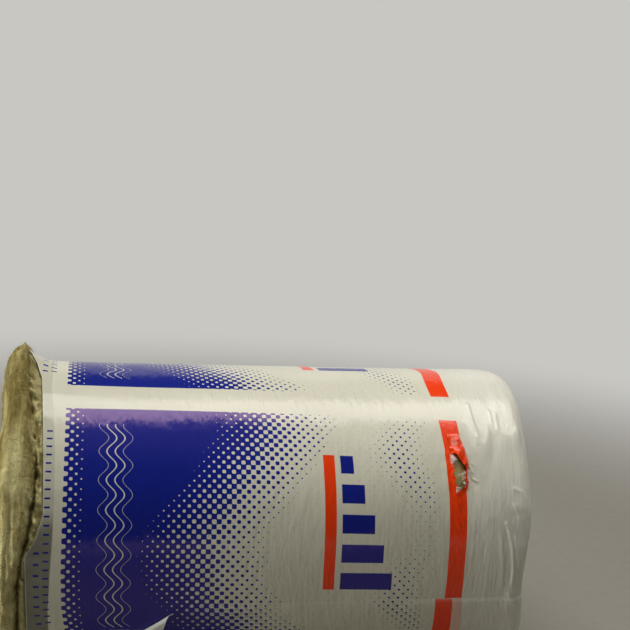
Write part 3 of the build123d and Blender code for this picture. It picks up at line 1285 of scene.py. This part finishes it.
    def tail(self) -> Surface:
        """Make the last lap, from its free edge down under the roll, cut at the slanting fold.

        Its free edge is drawn tight, and the film below it stands slack in places.
        """
        stops = [(self.tail_edge, -0.3), (self.tail_fine_end, -0.9), (self.tail_root, 0.0)]
        angle = divided(stops)[:, None]
        down = (self.tail_edge - angle) * METRES_PER_DEGREE
        left = np.maximum(self.fold_line(down), self.edge)
        share = np.linspace(0.0, 1.0, self.tail_columns)[None, :] ** 0.9
        along = left + (self.last - left) * share
        lift = self.tail_lift * smooth(self.tail_root, self.tail_full, angle) * smooth(0.0, 0.012, down)
        slack = self.tail_slack.of(self.ruffle, along, 0.0 * angle)
        slack = np.clip(0.45 * self.tail_slack.height + slack, 0.0, None)
        slack = slack * smooth(*self.tail_slack_start, along)
        slack = slack * smooth(0.0, 0.006, down) * smooth(0.030, 0.010, down)
        laid = self.surface(along, angle, lift + slack + self.tail_gap)
        # painted highlight: a pale line along the free edge and along the slanting fold
        hem = np.exp(-down / 0.0016) + np.exp(-(along - left) / 0.002) * (left > self.edge)
        masks = {"from_edge": laid.no_edge(), "free": np.clip(hem, 0.0, 1.0).reshape(-1)}
        return laid.skin(-laid.drift(), **masks)

    def folded_corner(self) -> Surface:
        """Make the corner of the tail that is folded back over it.

        A point of the corner at (a, b) along and below the free edge is mirrored in the fold,
        and rolls over it in a half round before it lies flat. The fold's first part, up to its
        tip, is only bent, so nothing of the corner lies over the film there.
        """
        slope = math.radians(self.fold_slope)
        length = (self.fold_start - self.edge) / math.cos(slope)
        s = np.linspace(0.0, 1.0, 70)[:, None]
        t = np.linspace(0.0, 1.0, 60)[None, :]
        run = self.fold_tip + (length - self.fold_tip) * s
        out = np.minimum((run - self.fold_tip) * math.tan(slope), (length - run) / math.tan(slope)) * t
        flat = np.clip(out - self.fold_bend, 0.0, None)
        turn = np.clip(out / self.fold_bend, 0.0, 1.0) * math.pi
        away = self.fold_bend / math.pi * np.sin(turn) - flat
        height = self.fold_bend / math.pi * (1.0 - np.cos(turn))
        x = self.fold_start - run * math.cos(slope) - away * math.sin(slope)
        down = run * math.sin(slope) - away * math.cos(slope)
        angle = self.tail_edge - down / METRES_PER_DEGREE
        waves = self.corner_wave.height + self.corner_wave.of(self.ruffle, x, angle)
        height = height + waves * smooth(0.0, 0.02, flat) + self.tail_lift
        return self.surface(np.clip(x, self.edge, None), angle, height).skin()

    def red_flap(self) -> Surface:
        """Make the crumpled flap above the hole.

        It is a sheet between a straight left side and a right side that slants away, held at
        its top and lifted by s^1.2 towards its free lower end, with a ragged noise. Its glints
        on the crumples and the pale line along its free side are painted highlights.
        """
        noise = LatticeNoise(31)
        s = np.linspace(0.0, 1.0, 40)[:, None]
        t = np.linspace(0.0, 1.0, 30)[None, :]
        angle = self.flap_top - (8.6 + 5.8 * t + 1.4 * noise.at(t * 5.0, 0.0 * t, 0.0 * t)) * s
        left = 0.2178 + 0.0024 * s + 0.0006 * noise.at(s * 6.0, 0.0 * s, 0.0 * s + 3.0)
        right = 0.2325 + 0.0090 * s**0.7
        x = left + (right - left) * t
        rough = noise.layers(x / 0.010, angle / 3.4, 0.0 * x, 3)
        height = 0.0012 + 0.0042 * s**1.2 * np.sin(np.pi * (0.12 + 0.8 * t)) + 0.0022 * rough * s**0.5
        laid = self.surface(x, angle, np.clip(height, 0.0006, None))
        # painted highlight: pale glints on the crumples and a pale line along the free side
        painted_glints = smooth(0.10, 0.50, noise.layers(x / 0.009 + 9.0, angle / 3.0, 0.0 * x, 2))
        free = np.maximum(np.exp(-(1.0 - t) / 0.07) * (s > 0.05), 0.6 * painted_glints * s**0.5)
        masks = {"from_edge": laid.no_edge(), "free": free.reshape(-1)}
        shift = -self.flap_shift * np.repeat(s**0.7, t.size)
        return laid.skin(shift, **masks)

    def scrap(self, shred: Shred) -> Surface:
        """Make one torn shred: a small crumpled sheet that curls up from the film.

        It is a strip along the girth whose free side rises and rolls over, tapered at both
        ends, and bent by a coarse noise into flat facets.
        """
        noise = LatticeNoise(shred.seed)
        s = np.linspace(-1.0, 1.0, 30)[:, None]
        t = np.linspace(0.0, 1.0, 14)[None, :]
        curl = 2.2 * t
        ragged = 0.8 + 0.5 * noise.layers(s * 2.6, 0.0 * s, 0.0 * s, 2)
        size = MM * shred.height * np.sqrt(np.clip(1.0 - s**2, 0.0, 1.0)) * ragged
        shake = 0.0030 * noise.layers(s * 2.2, t * 1.8, 0.0 * s + shred.seed, 2) * t
        angle = shred.angle + (MM * shred.length / 2.0 * s + 0.6 * shake) / METRES_PER_DEGREE
        height = np.clip(0.9 * size * np.sin(curl) + shake, 0.0006, None)
        laid = self.surface(MM * shred.x + 0.0 * angle, angle, height)
        away = shred.lean * size * (1.0 - np.cos(curl))
        laid.points[:, 0] += (away + shake).reshape(-1)
        return laid.skin(away.reshape(-1))

    def build(self) -> list[bpy.types.Object]:
        """Make the film's pieces, attach them to the root, and hide the model's film wrap."""
        printed = PrintedFilm(Lap.SIDE).build()
        tail_print = PrintedFilm(Lap.TAIL).build()
        clear = TORN_FILM.build()
        side = self.side().make("film_side", printed)
        tail = self.tail().make("film_tail_lap", tail_print)
        corner = self.folded_corner().make("film_folded_corner", FILM_UNDERSIDE.build())
        flap = self.red_flap().make("film_torn_flap", printed)
        shreds = [
            self.scrap(shred).make(f"film_shred_{number}", clear)
            for number, shred in enumerate(SHREDS, start=1)
        ]
        torn = [flap, *shreds]
        pieces = [side, tail, corner, *torn]
        for piece in pieces:
            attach(piece, "root")
        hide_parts("film_wrap")
        return pieces


@dataclass(frozen=True)
class Turned:
    """A profile of (x, radius) points that is turned through a column of angles."""

    line: Array
    angle: Array

    @classmethod
    def through(cls, runs: list[tuple[Line, float]], rows: int) -> "Turned":
        """Join smooth lines, each with the spacing of its points, and divide the turn."""
        parts = [smooth_line(points, spacing) for points, spacing in runs]
        line = np.vstack([*(part[:-1] for part in parts[:-1]), parts[-1]])
        return cls(line, (FOOT + np.arange(rows) * FULL_TURN / rows)[:, None])

    def skin(self, radius: float, points: Array, **masks: Array) -> Surface:
        """Return the surface, charted by the run along the profile and the girth."""
        shape = (len(self.angle), len(self.line))
        girth = np.radians(self.angle) * radius
        chart = np.stack(np.broadcast_arrays(run_along(self.line)[None, :], girth), axis=-1)
        masks = {key: np.broadcast_to(value, shape).reshape(-1) for key, value in masks.items()}
        return Surface(points, grid_faces(*shape, closed=True), chart.reshape(-1, 2), masks)


@dataclass
class WoolRoll:
    """The wound mat: its swollen loose end, its lapped face, and the fibres that stand off it.

    The profiles are (x, radius) points; lumps, nodules and streaks are noises of about -1 to 1.
    """

    form: RollForm
    loose_rows: int = 500
    lapped_rows: int = 420
    overlap: float = 0.002
    face_spacing: float = 0.0021
    plain_spacing: float = 0.03
    joint_wander: float = 0.0035
    joint_width: float = 0.0024
    joint_depth: float = 0.006
    turn_bulge: float = 0.0038
    face_tuft: float = 0.0012
    lump: Grain = Grain(1.0, 0.014, 0.022, 3)
    nodule: Grain = Grain(1.0, 0.0055, 0.008, 3, shift=1.0)
    streak: Grain = Grain(1.0, 0.0030, 0.030, 3)
    crease_break: Grain = Grain(1.0, 1.0, 0.019, 3, shift=4.0)
    pale_front: Patch = Patch(34.0, 15.0, -0.2985, 0.012)
    full_top: Patch = Patch(86.0, 20.0)
    full_top_edge: Patch = Patch(86.0, 20.0, -0.288, 0.010)
    rim_top: Patch = Patch(86.0, 12.0)
    top_tuft: Patch = Patch(87.0, 8.5, -0.2958, 0.0092)
    pressed: Patch = Patch(58.0, 15.0)
    pressed_depth: float = 0.0062
    hole: Patch = Patch(34.2, 6.0, 0.2274, 0.009)
    fibre_count: int = 15000
    fibre_length: Pair = (0.004, 0.014)
    fibre_half_width: float = 0.00018
    fibre_points: int = 5

    def __post_init__(self) -> None:
        """Prepare the noises of the wool."""
        self.lumps = RoundNoise(21, self.form.radius)
        self.fibre = RoundNoise(22, self.form.radius)
        self.face = LatticeNoise(23)

    def face_relief(self, reach: Array, angle: Array) -> tuple[Array, Array]:
        """Return how far an end face stands out, and its furrows.

        A point lies at c, 0 to 1, across its turn of the spiral. Each turn bulges as
        sin(pi c) to the power 0.6, and the open joint between two turns is a narrow groove.
        """
        form = self.form
        y = reach * np.cos(np.radians(angle))
        z = reach * np.sin(np.radians(angle))
        wander = self.joint_wander * self.face.layers(y / 0.035, z / 0.035, 0.0 * y, 2)
        across = ((reach + wander - form.eye_radius) / form.turn - angle / FULL_TURN) % 1.0
        gap = np.minimum(across, 1.0 - across) * form.turn
        groove = bump_at(gap, 0.0, self.joint_width)
        tuft = self.face.layers(y / 0.009 + 5.0, z / 0.009, 0.0 * y, 3)
        relief = self.turn_bulge * np.sin(np.pi * across) ** 0.6 + self.face_tuft * tuft
        return relief - self.joint_depth * groove, groove

    def loose_profile(self) -> list[tuple[Line, float]]:
        """Return the lines of the loose end, from under the film round into the eye."""
        under, eye = self.form.under_film, self.form.eye_radius
        hidden = [(0.0, under), (-0.12, under), (-0.245, under)]
        side = [
            (-0.245, under), (-0.262, under), (-0.268, 0.1905), (-0.275, 0.1908), (-0.2815, 0.1905),
            (-0.288, 0.1925), (-0.295, 0.1965), (-0.3025, 0.1995), (-0.3085, 0.1985),
            (-0.3135, 0.1935), (-0.3165, 0.185), (-0.3175, 0.175),
        ]
        face = [
            (-0.3175, 0.175), (-0.3185, 0.14), (-0.3195, 0.09), (-0.32, 0.05), (-0.319, 0.026),
            (-0.315, 0.0195), (-0.305, eye),
        ]
        bore = [(-0.305, eye), (-0.15, eye), (0.0, eye)]
        plain = self.plain_spacing
        return [(hidden, plain), (side, 0.00115), (face, self.face_spacing), (bore, plain)]

    def lapped_profile(self) -> list[tuple[Line, float]]:
        """Return the lines of the lapped end, from the eye over the face and under the film."""
        under, eye, start = self.form.under_film, self.form.eye_radius, -self.overlap
        flat = self.form.lapped_face - 0.0016
        bore = [(start, eye), (0.15, eye), (0.304, eye)]
        face = [
            (0.304, eye), (0.3155, 0.0205), (0.3195, 0.027), (flat, 0.05), (flat, 0.10), (flat, 0.150)
        ]
        back = [
            (flat, 0.150), (flat - 0.002, 0.165), (0.309, 0.176), (0.292, 0.183), (0.27, 0.187),
            (0.24, under), (0.20, under), (start, under),
        ]
        return [(bore, self.plain_spacing), (face, self.face_spacing), (back, 0.006)]

    def loose_end(self) -> Surface:
        """Make the wool from under the film round the swollen end and into the eye.

        The rim is what lies between the film's edge and the crease, the swell what lies past
        it. The crease is a bell across its line, broken by a noise, deepest at the front. Pale
        skin, where the wool is pressed smooth, is also calmer in its relief. The skin mask also
        paints light: the low front of the swell and the rim's nodules are made paler. Painted
        shade darkens the crease, the joints and the top.
        """
        form = self.form
        turned = Turned.through(self.loose_profile(), self.loose_rows)
        x, reach, angle = turned.line[:, 0][None, :], turned.line[:, 1][None, :], turned.angle
        on_face = smooth(-0.3168, -0.3176, x) * smooth(0.021, 0.03, reach)
        on_side = smooth(-0.250, -0.266, x) * (1.0 - on_face) * smooth(0.03, 0.08, reach)
        inward = x - round_table(angle, CREASE_LINE)
        rim = on_side * smooth(-0.004, 0.001, inward)
        swell = on_side * (1.0 - smooth(-0.006, 0.0, inward))
        lumps = self.lump.of(self.lumps, x, angle)
        nodules = self.nodule.of(self.lumps, x, angle)
        streaks = self.streak.of(self.fibre, x + 0.3 * reach, angle)

        depth = round_table(angle, CREASE_DEPTH)
        crest = depth * (1.0 + 0.35 * nodules)
        opened = bump_at(inward + 0.0016 * lumps, 0.0, 0.0008 + 0.11 * depth)
        high = smooth(36.0, 52.0, np.abs(angle_gap(angle, 0.0)))
        broken = self.crease_break.of(self.lumps, 0.0 * angle, angle)
        opened = opened * (1.0 - (0.2 + 0.65 * high) * smooth(0.20, -0.30, broken))
        beside = on_side * bump_at(inward, 0.0, 0.008)

        front = self.pale_front.at(x, angle)
        # painted light: the low front of the swell is made pale; the front patch above is real pale skin
        low = smooth(52.0, 24.0, np.abs(angle_gap(angle, -20.0))) * swell
        wide = np.maximum(front * (1.7 + 0.45 * lumps) - 0.3, low * (0.85 + 0.35 * streaks))
        calm = 1.0 - 0.7 * np.clip(wide, 0.0, 1.0)

        stand = on_side * (0.0009 * streaks * calm - crest * opened)
        stand = stand + rim * (0.0024 * nodules + 0.0016 * lumps) + 0.0030 * beside * nodules
        stand = stand + swell * calm * (0.0018 * lumps + 0.0006 * nodules)
        top = self.full_top.at(x, angle) + self.full_top_edge.at(x, angle)
        stand = stand + 0.003 * (on_side * top + rim * self.rim_top.at(x, angle))
        stand = stand + swell * self.top_tuft.at(x, angle) * (0.0080 + 0.004 * nodules)

        relief, groove = self.face_relief(reach, angle)
        dent = self.pressed_depth * self.pressed.at(x, angle)
        dent = dent * smooth(-0.300, -0.3165, x) * smooth(0.05, 0.16, reach)
        out_x = x - on_face * relief - swell * 0.0015 * lumps + dent
        lift = form.swell_lift * smooth(-0.279, -0.291, x) * smooth(0.022, 0.06, reach)
        under = form.under_film + np.clip(1.1 * form.ear(x, angle) - lift, 0.0, None)
        past = out_x - round_table(angle, FILM_START)
        ceiling = under + 0.006 * smooth(0.001, -0.008, past) + 0.05 * smooth(-0.006, -0.014, past)
        pillow = smooth(0.0, -0.010, inward) * smooth(-0.3035, -0.3015, x)
        plump = np.clip(0.1985 + 0.18 * (x + 0.3025) - reach, 0.0, 0.012)
        wanted = reach + stand + pillow * plump
        wanted = np.maximum(wanted, on_side * under * smooth(-0.004, 0.001, past))
        held = smooth(-0.300, -0.292, x) * smooth(0.10, 0.15, reach)
        out_reach = np.where(held > 0.0, np.minimum(wanted, ceiling + (1.0 - held) * 0.05), wanted)

        # painted shade: darker in the crease, between the rim's nodules, in the face's joints and towards
        # the top
        furrow = on_side * np.clip(opened * (0.35 + 65.0 * crest), 0.0, 1.0) + on_face * groove * 0.9
        furrow = furrow + (0.12 * rim + 0.4 * beside) * smooth(0.0, -0.55, nodules)
        rise = np.sin(np.radians(angle))
        furrow = furrow + 0.38 * on_side * smooth(0.2, 1.0, rise) * (1.0 - 0.6 * rim)
        furrow = furrow + 0.35 * rim * smooth(0.75, 1.0, rise)
        # painted light: the rim's nodules are made paler, more so low on the front
        knobs = rim * (0.5 + 0.5 * smooth(-0.25, 0.45, nodules) + 0.2 * smooth(40.0, 0.0, angle))
        skin = np.clip(np.maximum(wide, knobs), 0.0, 0.95) * on_side
        points = form.place(out_x, angle, out_reach, lift)
        return turned.skin(form.radius, points, furrow=np.clip(furrow, 0.0, 1.0), skin=skin)

    def lapped_end(self) -> Surface:
        """Make the wool from the eye over the lapped face and back under the film."""
        form = self.form
        turned = Turned.through(self.lapped_profile(), self.lapped_rows)
        x, reach, angle = turned.line[:, 0][None, :], turned.line[:, 1][None, :], turned.angle
        on_face = smooth(0.3175, 0.3192, x) * smooth(0.022, 0.032, reach) * smooth(0.130, 0.119, reach)
        tucked = 0.0035 * smooth(0.300, 0.314, x) * smooth(0.113, 0.125, reach)
        relief, groove = self.face_relief(reach, angle)
        lean = form.lean(x, angle) * smooth(0.05, 0.17, reach)
        hole = self.hole.at(x, angle) * smooth(0.17, 0.189, reach)
        tuft = hole * (0.0002 + 0.0020 * self.lumps.at(x, angle, 0.004, 0.006, 2))
        out_x = x + on_face * (relief - 0.003) + lean - tucked
        points = form.place(out_x, angle, reach + tuft)
        # painted shade darkens the face's joints; painted light makes the wool in the tear's hole paler
        return turned.skin(form.radius, points, furrow=on_face * groove * 0.9, skin=0.6 * hole)

    def fibres(self, source: Surface, choose: Array, seed: int) -> Surface:
        """Make ribbons that stand off a surface.

        Args:
            source: the wool that they grow from.
            choose: how likely each of its points is to carry one.
            seed: of the choice.

        Returns:
            Ribbons of four faces: base + d s + c s^2, with a direction d that leans along the
            surface, a curl c, and a width that narrows to the tip.
        """
        count = self.fibre_count
        random = np.random.default_rng(seed)
        normals = source.normals()
        picked = random.choice(len(source.points), count, p=choose / choose.sum())
        base, normal = source.points[picked], normals[picked]
        wild = random.normal(size=(count, 3))
        lean = wild - normal * np.sum(wild * normal, axis=1, keepdims=True)
        lean = lean / np.linalg.norm(lean, axis=1, keepdims=True)
        direction = lean + normal * random.uniform(0.05, 0.6, (count, 1))
        length = random.uniform(*self.fibre_length, (count, 1))
        curl = random.normal(size=(count, 3)) * 0.35 * length
        s = np.linspace(0.0, 1.0, self.fibre_points)[None, :, None]
        spine = base[:, None, :] - 0.0004 * normal[:, None, :]
        spine = spine + direction[:, None, :] * length[:, None, :] * s + curl[:, None, :] * s**2
        across = np.cross(direction, normal)
        across = across / np.maximum(np.linalg.norm(across, axis=1, keepdims=True), TINY)
        half = self.fibre_half_width * (1.05 - s) * across[:, None, :]
        points = np.stack([spine - half, spine + half], axis=2).reshape(-1, 3)
        points[:, 2] = np.maximum(points[:, 2], 1.5 * self.form.floor_gap)
        first = np.arange(count)[:, None] * 2 * self.fibre_points
        start = first + np.arange(self.fibre_points - 1)[None, :] * 2
        faces = np.stack([start, start + 1, start + 3, start + 2], axis=-1).reshape(-1, 4)
        return Surface(points, faces, points[:, :2], {})

    def build(self) -> list[bpy.types.Object]:
        """Make the wool's pieces, hide the model's wool roll, and attach them to the root."""
        wool = MineralWool().build()
        loose_surface = self.loose_end()
        loose = loose_surface.make("wool_loose_end", wool)
        lapped = self.lapped_end().make("wool_lapped_end", wool)
        x, y, z = loose_surface.points.T
        height = self.form.axis_height
        reach = np.hypot(y, z - height - 0.5 * self.form.swell_lift)
        start = round_table(np.degrees(np.arctan2(z - height, -y)), FILM_START)
        bare = smooth(0.0, -0.004, x - start)
        choose = bare * (0.25 + smooth(0.15, 0.19, reach)) * smooth(0.019, 0.024, reach)
        strands = self.fibres(loose_surface, choose, 41).make("wool_fibres", LOOSE_FIBRE.build())
        pieces = [loose, lapped, strands]
        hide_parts("wool_roll")
        for piece in pieces:
            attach(piece, "root")
        return pieces


@dataclass(frozen=True)
class Lamp:
    """A rectangular lamp that faces a target; it may be left out of reflections."""

    name: str
    place: Place
    target: Place
    size: Pair
    power: float
    colour: Colour = (1.0, 0.965, 0.90)
    in_reflections: bool = True

    def hang(self) -> None:
        """Put the lamp into the scene."""
        light = bpy.data.lights.new(self.name, "AREA")
        light.shape = "RECTANGLE"
        light.size, light.size_y = self.size
        light.energy = self.power
        light.color = self.colour
        lamp = bpy.data.objects.new(self.name, light)
        lamp.location = self.place
        toward = Vector(self.target) - Vector(self.place)
        lamp.rotation_euler = toward.to_track_quat("-Z", "Y").to_euler()
        lamp.visible_glossy = self.in_reflections
        bpy.context.scene.collection.objects.link(lamp)


@dataclass(frozen=True)
class Studio:
    """A pale floor that curves up behind the roll, soft light, and the camera.

    The camera's turn is in degrees, its lens and sensor in millimetres.
    """

    camera_place: Place = (-0.2224, -1.3221, 0.7100)
    camera_turn: Place = (79.445591, -3.873546, -11.708863)
    lens: float = 60.0
    sensor: float = 36.0
    floor_tone: Colour = tint(153, 150, 142)
    floor_speck: Colour = tint(140, 136, 127)
    back_tone: Colour = tint(200, 199, 194)
    back_start: Pair = (0.8, 2.1)
    world_tone: Colour = (1.0, 0.99, 0.97)
    world_strength: float = 0.06
    lamps: tuple[Lamp, ...] = (
        Lamp("lamp_above", (0.35, 0.32, 2.1), (0.35, 0.0, 0.2), (2.1, 0.75), 24.5),
        Lamp("lamp_front", (0.1, -0.6, 2.4), (0.0, 0.0, 0.2), (2.4, 1.2), 19.0, in_reflections=False),
        Lamp("lamp_left", (-2.5, -0.32, 0.45), (0.0, 0.0, 0.2), (1.0, 1.0), 46.0, in_reflections=False),
    )

    def floor(self) -> bpy.types.Object:
        """Make the floor: flat, then a quarter round, then upright, as one sheet.

        Its far part shows the backdrop's tone to the camera and in reflections.
        """
        bend, back, high, flat_rows = 1.2, 2.6, 3.0, 27
        turn = np.linspace(0.0, math.pi / 2.0, 24)
        flat = np.linspace(-4.0, 2.5, flat_rows)
        y = np.concatenate([flat, back + bend * np.sin(turn), [back + bend]])
        z = np.concatenate([np.zeros(flat_rows), bend * (1.0 - np.cos(turn)), [high]])
        x = np.linspace(-6.0, 6.0, 3)
        points = np.stack(np.broadcast_arrays(x[:, None], y[None, :], z[None, :]), axis=-1)
        points = points.reshape(-1, 3)
        faces = grid_faces(x.size, y.size, closed=False)
        shader = Shader("studio_floor")
        here = shader.body()
        speck = shader.grain(here, 60.0, 5.0)
        colour = shader.mix(speck.ramp(0.35, 0.75) * 0.25, self.floor_tone, self.floor_speck)
        rays = [
            shader.node("ShaderNodeLightPath", output=f"Is {kind} Ray")
            for kind in ("Camera", "Glossy", "Transmission")
        ]
        seen = rays[0].math("MAXIMUM", rays[1]).math("MAXIMUM", rays[2])
        far = shader.node("ShaderNodeVectorMath", {"operation": "LENGTH"}, {0: here}, "Value")
        glow = shader.node("ShaderNodeEmission", inputs={"Color": self.back_tone, "Strength": 1.0})
        share = seen * far.ramp(*self.back_start)
        material = shader.finish({"Base Color": colour, "Roughness": 0.7}, (share, glow))
        return Surface(points, faces[:, ::-1], points[:, :2], {}).make("studio_floor", material)

    def camera(self) -> None:
        """Place the camera at the photograph's viewing angle."""
        data = bpy.data.cameras.new("camera")
        data.lens, data.sensor_width = self.lens, self.sensor
        camera = bpy.data.objects.new("camera", data)
        camera.location = self.camera_place
        camera.rotation_euler = [math.radians(turn) for turn in self.camera_turn]
        bpy.context.scene.collection.objects.link(camera)
        bpy.context.scene.camera = camera

    def build(self) -> None:
        """Set up the floor, the light, the camera and the view."""
        self.floor()
        for lamp in self.lamps:
            lamp.hang()
        world = bpy.data.worlds.new("studio_world")
        world.use_nodes = True
        sky = world.node_tree.nodes["Background"].inputs
        sky["Color"].default_value = (*self.world_tone, 1.0)
        sky["Strength"].default_value = self.world_strength
        bpy.context.scene.world = world
        bpy.context.scene.view_settings.view_transform = "Standard"
        self.camera()


def report(pieces: list[bpy.types.Object]) -> None:
    """Log each piece with its number of triangles."""
    for piece in pieces:
        piece.data.calc_loop_triangles()
        LOG.info("%s: %d triangles", piece.name, len(piece.data.loop_triangles))


def main() -> None:
    """Build the roll and its studio, and log each piece's number of triangles."""
    logging.basicConfig(level=logging.INFO, format="%(name)s: %(message)s")
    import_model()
    form = RollForm()
    Studio().build()
    wool = WoolRoll(form).build()
    film = FilmWrap(form).build()
    report(wool + film)
    bpy.context.view_layer.update()


if __name__ == "__main__":
    main()
